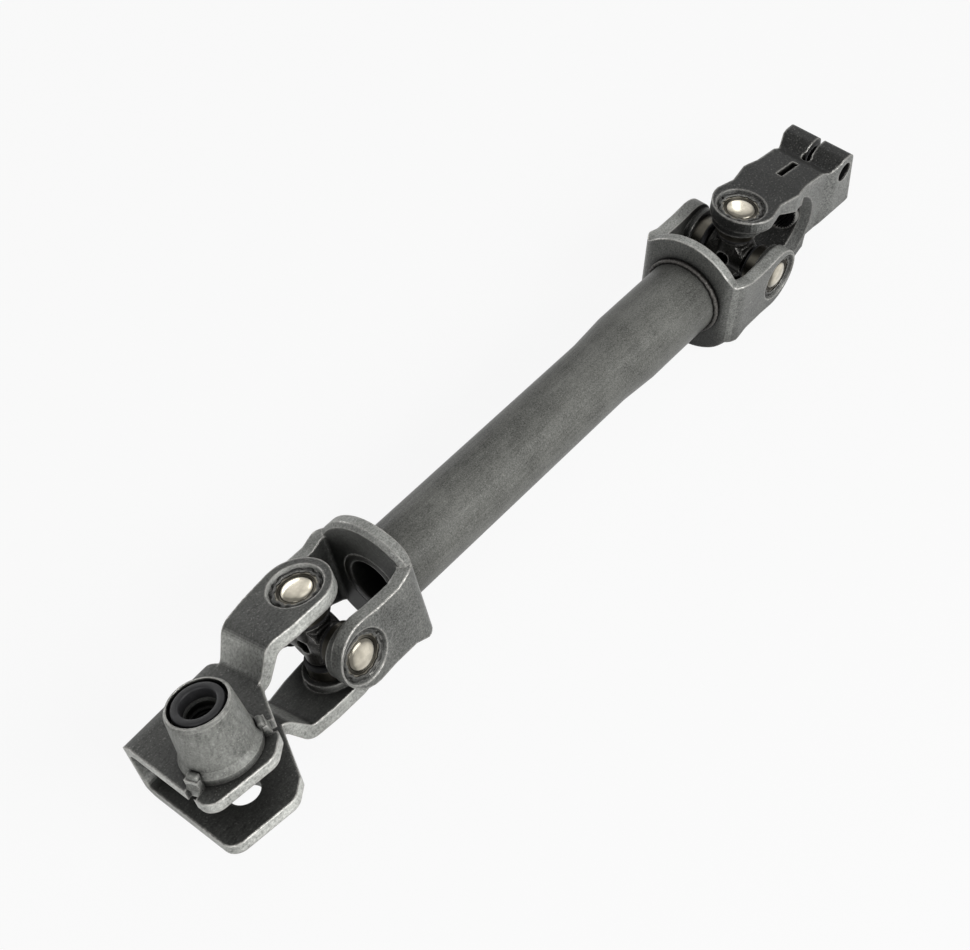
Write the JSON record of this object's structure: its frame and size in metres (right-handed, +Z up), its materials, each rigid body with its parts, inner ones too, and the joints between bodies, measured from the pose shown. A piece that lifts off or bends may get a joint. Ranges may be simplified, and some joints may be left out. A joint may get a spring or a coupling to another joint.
{
  "type": "intermediate steering shaft",
  "caption": "Steel shaft with a universal joint at each end, a channel pinch yoke with captive nut at one end and a slit clamp fork at the other.",
  "frame": {"origin": "middle of the footprint, on the surface it lies on", "axes": "+Z up as it lies, +X along the shaft from the channel pinch yoke to the clamp fork"},
  "size_m": [0.3608, 0.06, 0.0605],
  "materials": {
    "yoke_steel": "dark oiled phosphate, satin",
    "tube_steel": "dark phosphate, slightly warm, satin",
    "weld_steel": "dark weld bead",
    "cup_steel": "drawn and hardened, bright",
    "needle_steel": "ground",
    "seal_rubber": "matt",
    "cross_steel": "ground and oiled",
    "channel_steel": "grey phosphate with worn edges",
    "nut_steel": "light grey phosphate",
    "lock_ring": "grey lock ring",
    "fork_iron": "dark phosphated forging"
  },
  "bodies": {
    "shaft": {"shaft_tube": "tube_steel", "lower_shaft_yoke": "yoke_steel", "upper_shaft_yoke": "yoke_steel", "lower_weld": "weld_steel", "upper_weld": "weld_steel", "lower_front_cup": "cup_steel", "lower_rear_cup": "cup_steel", "upper_front_cup": "cup_steel", "upper_rear_cup": "cup_steel", "lower_shaft_needles": "needle_steel", "upper_shaft_needles": "needle_steel", "lower_shaft_seals": "seal_rubber", "upper_shaft_seals": "seal_rubber"},
    "lower_spider": {"lower_cross": "cross_steel"},
    "lower_clamp": {"lower_pinch_yoke": "channel_steel", "lower_top_cup": "cup_steel", "lower_bottom_cup": "cup_steel", "lower_pinch_needles": "needle_steel", "lower_pinch_seals": "seal_rubber", "captive_nut": "nut_steel", "nut_lock_ring": "lock_ring"},
    "upper_spider": {"upper_cross": "cross_steel"},
    "upper_clamp": {"upper_pinch_yoke": "fork_iron", "upper_top_cup": "cup_steel", "upper_bottom_cup": "cup_steel", "upper_pinch_needles": "needle_steel", "upper_pinch_seals": "seal_rubber"}
  },
  "joints": [
    {"name": "lower_cross_hinge", "type": "hinge", "parent": "shaft", "child": "lower_spider", "pos_m": [-0.10988, 0.00563, 0.02448], "axis": [0, 0.9509, -0.3095], "range_deg": [-28.8, 35.2]},
    {"name": "lower_yoke_hinge", "type": "hinge", "parent": "lower_spider", "child": "lower_clamp", "pos_m": [-0.10988, 0.00563, 0.02448], "axis": [-0.0492, 0.3091, 0.9497], "range_deg": [-32, 32]},
    {"name": "upper_cross_hinge", "type": "hinge", "parent": "shaft", "child": "upper_spider", "pos_m": [0.11701, 0.00516, 0.02305], "axis": [0.0021, 0.9999, 0.0152], "range_deg": [-36, 28]},
    {"name": "upper_yoke_hinge", "type": "hinge", "parent": "upper_spider", "child": "upper_clamp", "pos_m": [0.11701, 0.00516, 0.02305], "axis": [0.076, -0.0153, 0.997], "range_deg": [-32, 32]}
  ]
}
